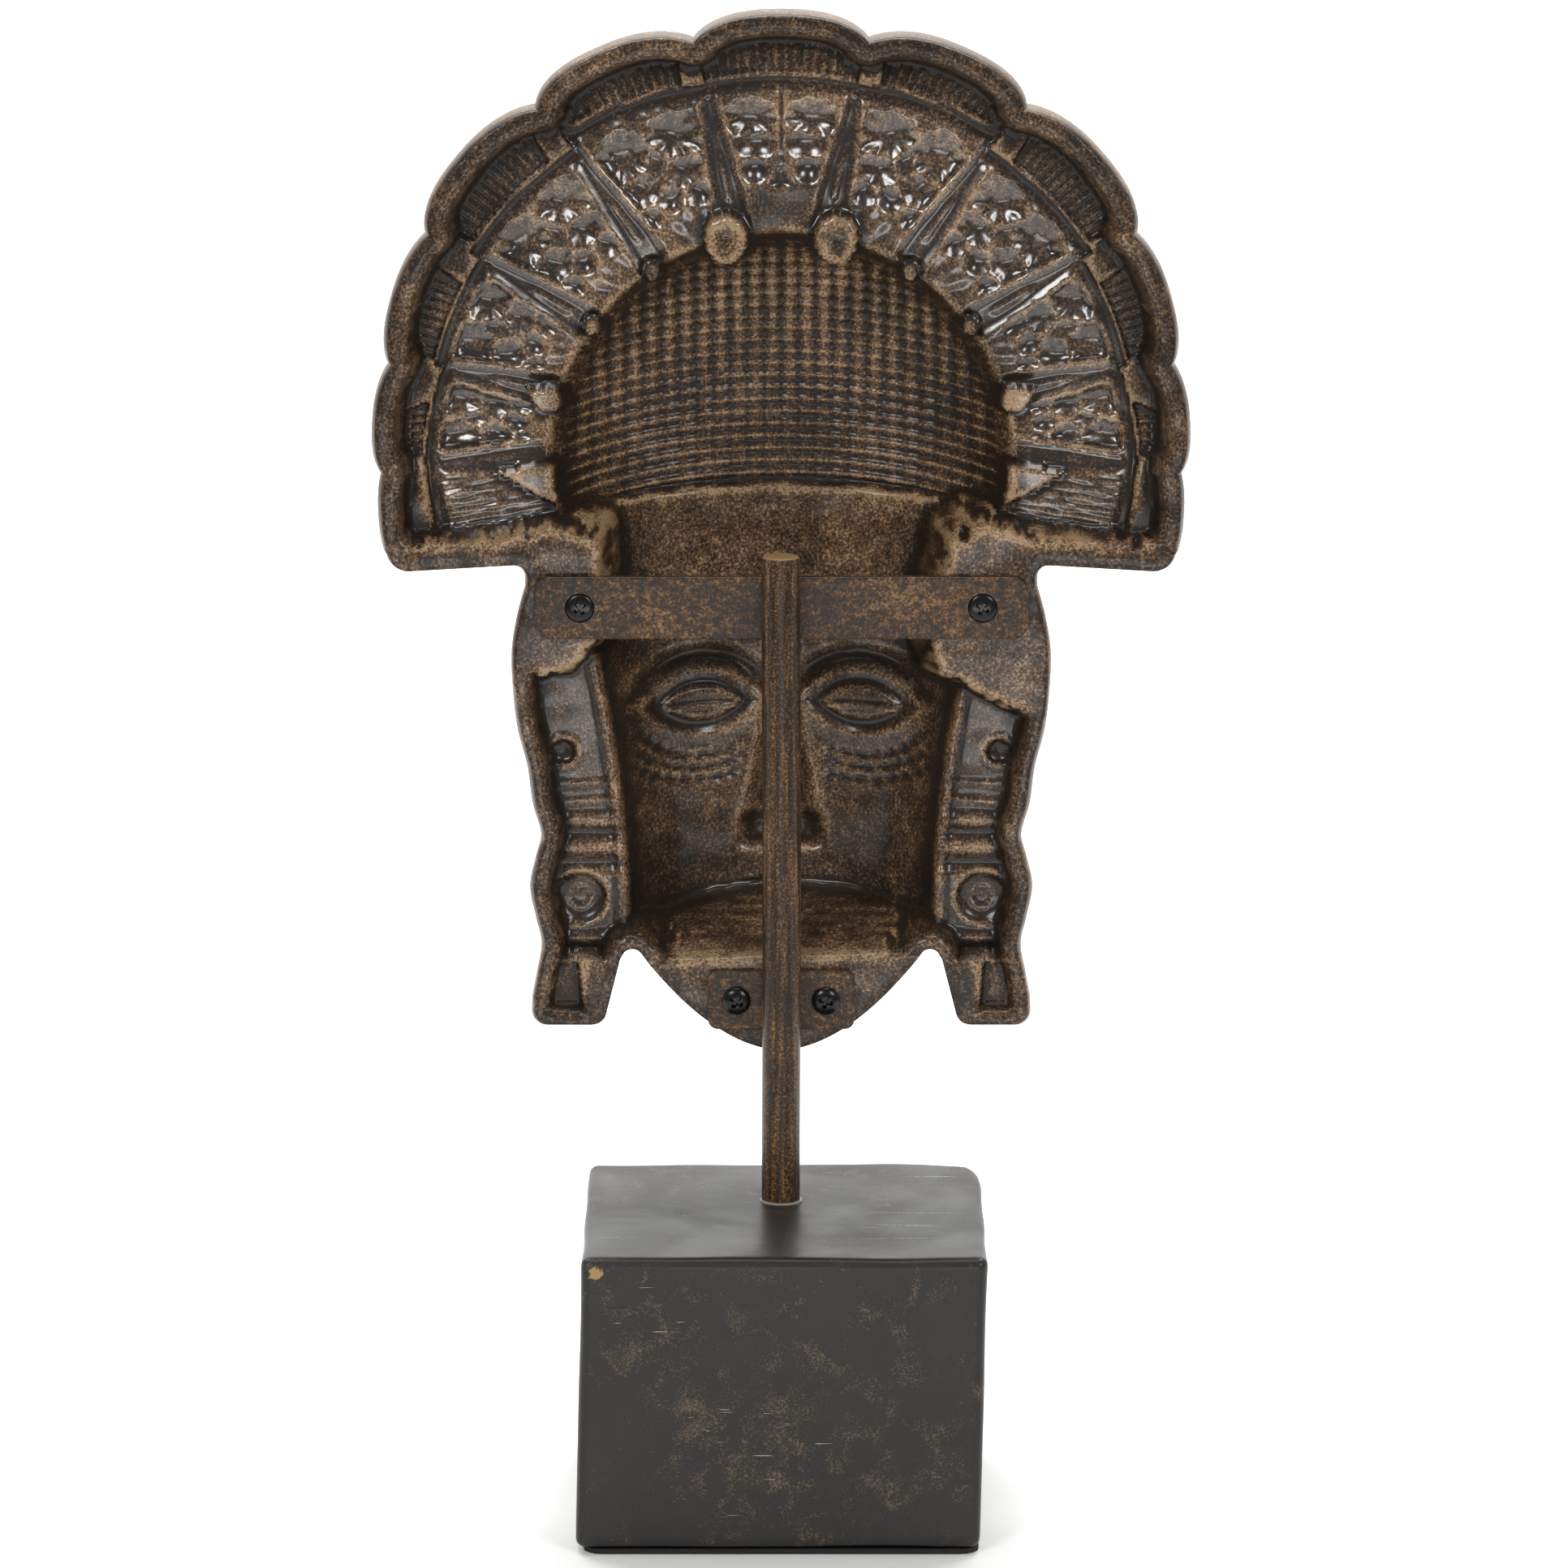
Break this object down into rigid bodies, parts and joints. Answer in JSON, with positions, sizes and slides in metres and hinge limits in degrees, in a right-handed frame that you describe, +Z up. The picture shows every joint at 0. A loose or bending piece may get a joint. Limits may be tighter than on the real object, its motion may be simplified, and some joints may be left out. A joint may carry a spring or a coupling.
{
  "type": "tribal mask sculpture",
  "caption": "Hollow cast mask with a scalloped crown, cap, ear pendants and plain face, screwed to a steel bar and rod that stand in a heavy dark block.",
  "frame": {"origin": "middle of the underside of the base pad", "axes": "+Z up along the rod, the mask's face looks along -Y, +X across the mask"},
  "size_m": [0.2584, 0.1461, 0.4739],
  "materials": {
    "cast_resin": "near-black brown cast resin, satin in the hollows, brushed with ochre on edges and ridges",
    "painted_steel": "dark brown paint with ochre speckle and rubbed edges",
    "black_screw": "glossy black",
    "block_paint": "charcoal black satin paint with faint scuffs",
    "pad": "matt dark pad"
  },
  "bodies": {
    "root": {"mask": "cast_resin", "cross_bar": "painted_steel", "chin_plate": "painted_steel", "rod": "painted_steel", "bar_screw_left": "black_screw", "bar_screw_right": "black_screw", "chin_screw_left": "black_screw", "chin_screw_right": "black_screw", "block": "block_paint", "base_pad": "pad"}
  },
  "joints": []
}
